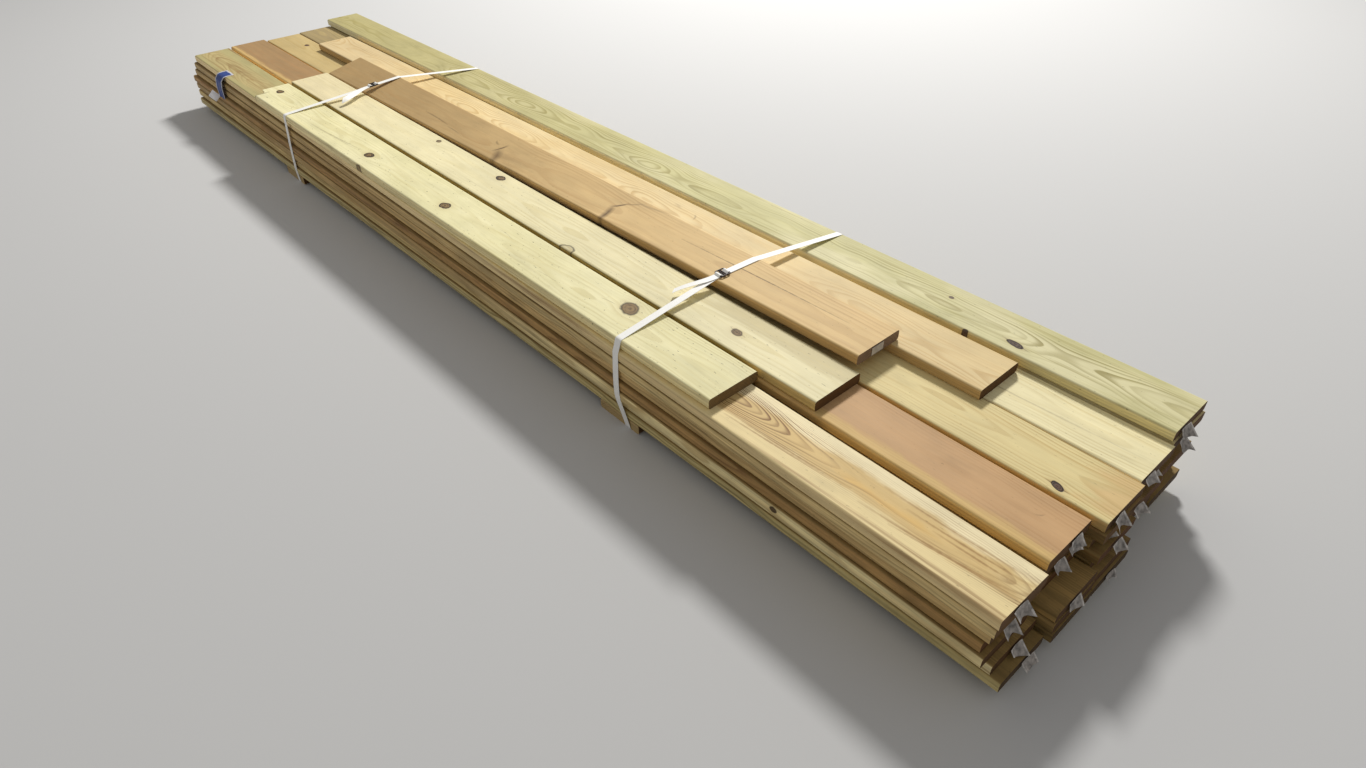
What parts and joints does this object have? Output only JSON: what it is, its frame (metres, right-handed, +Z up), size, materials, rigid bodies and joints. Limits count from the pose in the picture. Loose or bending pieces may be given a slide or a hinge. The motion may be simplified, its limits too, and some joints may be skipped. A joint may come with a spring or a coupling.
{
  "type": "bundle of decking boards",
  "caption": "Strapped bundle of radius-edge softwood decking boards on flat bearers, with loose boards of mixed length, one twisted, on top.",
  "frame": {"origin": "on the floor under the middle of the bundle's box", "axes": "+X along the boards towards their even near ends, +Y across the boards, +Z up from the floor"},
  "size_m": [3.7269, 0.7733, 0.2589],
  "materials": {
    "decking": "planed softwood, pale",
    "top_board_3": "planed softwood, tan",
    "top_board_4": "planed softwood, warm tan",
    "top_board_5": "planed softwood, greenish",
    "row_decking": "planed softwood, weathered edges",
    "bearer": "planed softwood offcut",
    "strap": "woven white strapping",
    "buckle": "dark phosphated wire",
    "side_tag": "blue film with pale margins",
    "end_labels": "crumpled grey film"
  },
  "bodies": {
    "root": {"top_board_1": "decking", "top_board_2": "decking", "top_board_3": "top_board_3", "top_board_4": "top_board_4", "top_board_5": "top_board_5", "second_row_board_1": "decking", "second_row_board_2": "decking", "second_row_board_3": "decking", "second_row_board_4": "decking", "second_row_board_5": "decking", "row_3_boards": "row_decking", "row_4_boards": "row_decking", "row_5_boards": "row_decking", "row_6_boards": "row_decking", "row_7_boards": "row_decking", "row_8_boards": "row_decking", "bearer_front": "bearer", "bearer_rear": "bearer", "strap_front": "strap", "strap_rear": "strap", "buckle_front": "buckle", "buckle_rear": "buckle", "side_tag": "side_tag", "end_labels": "end_labels"}
  },
  "joints": []
}
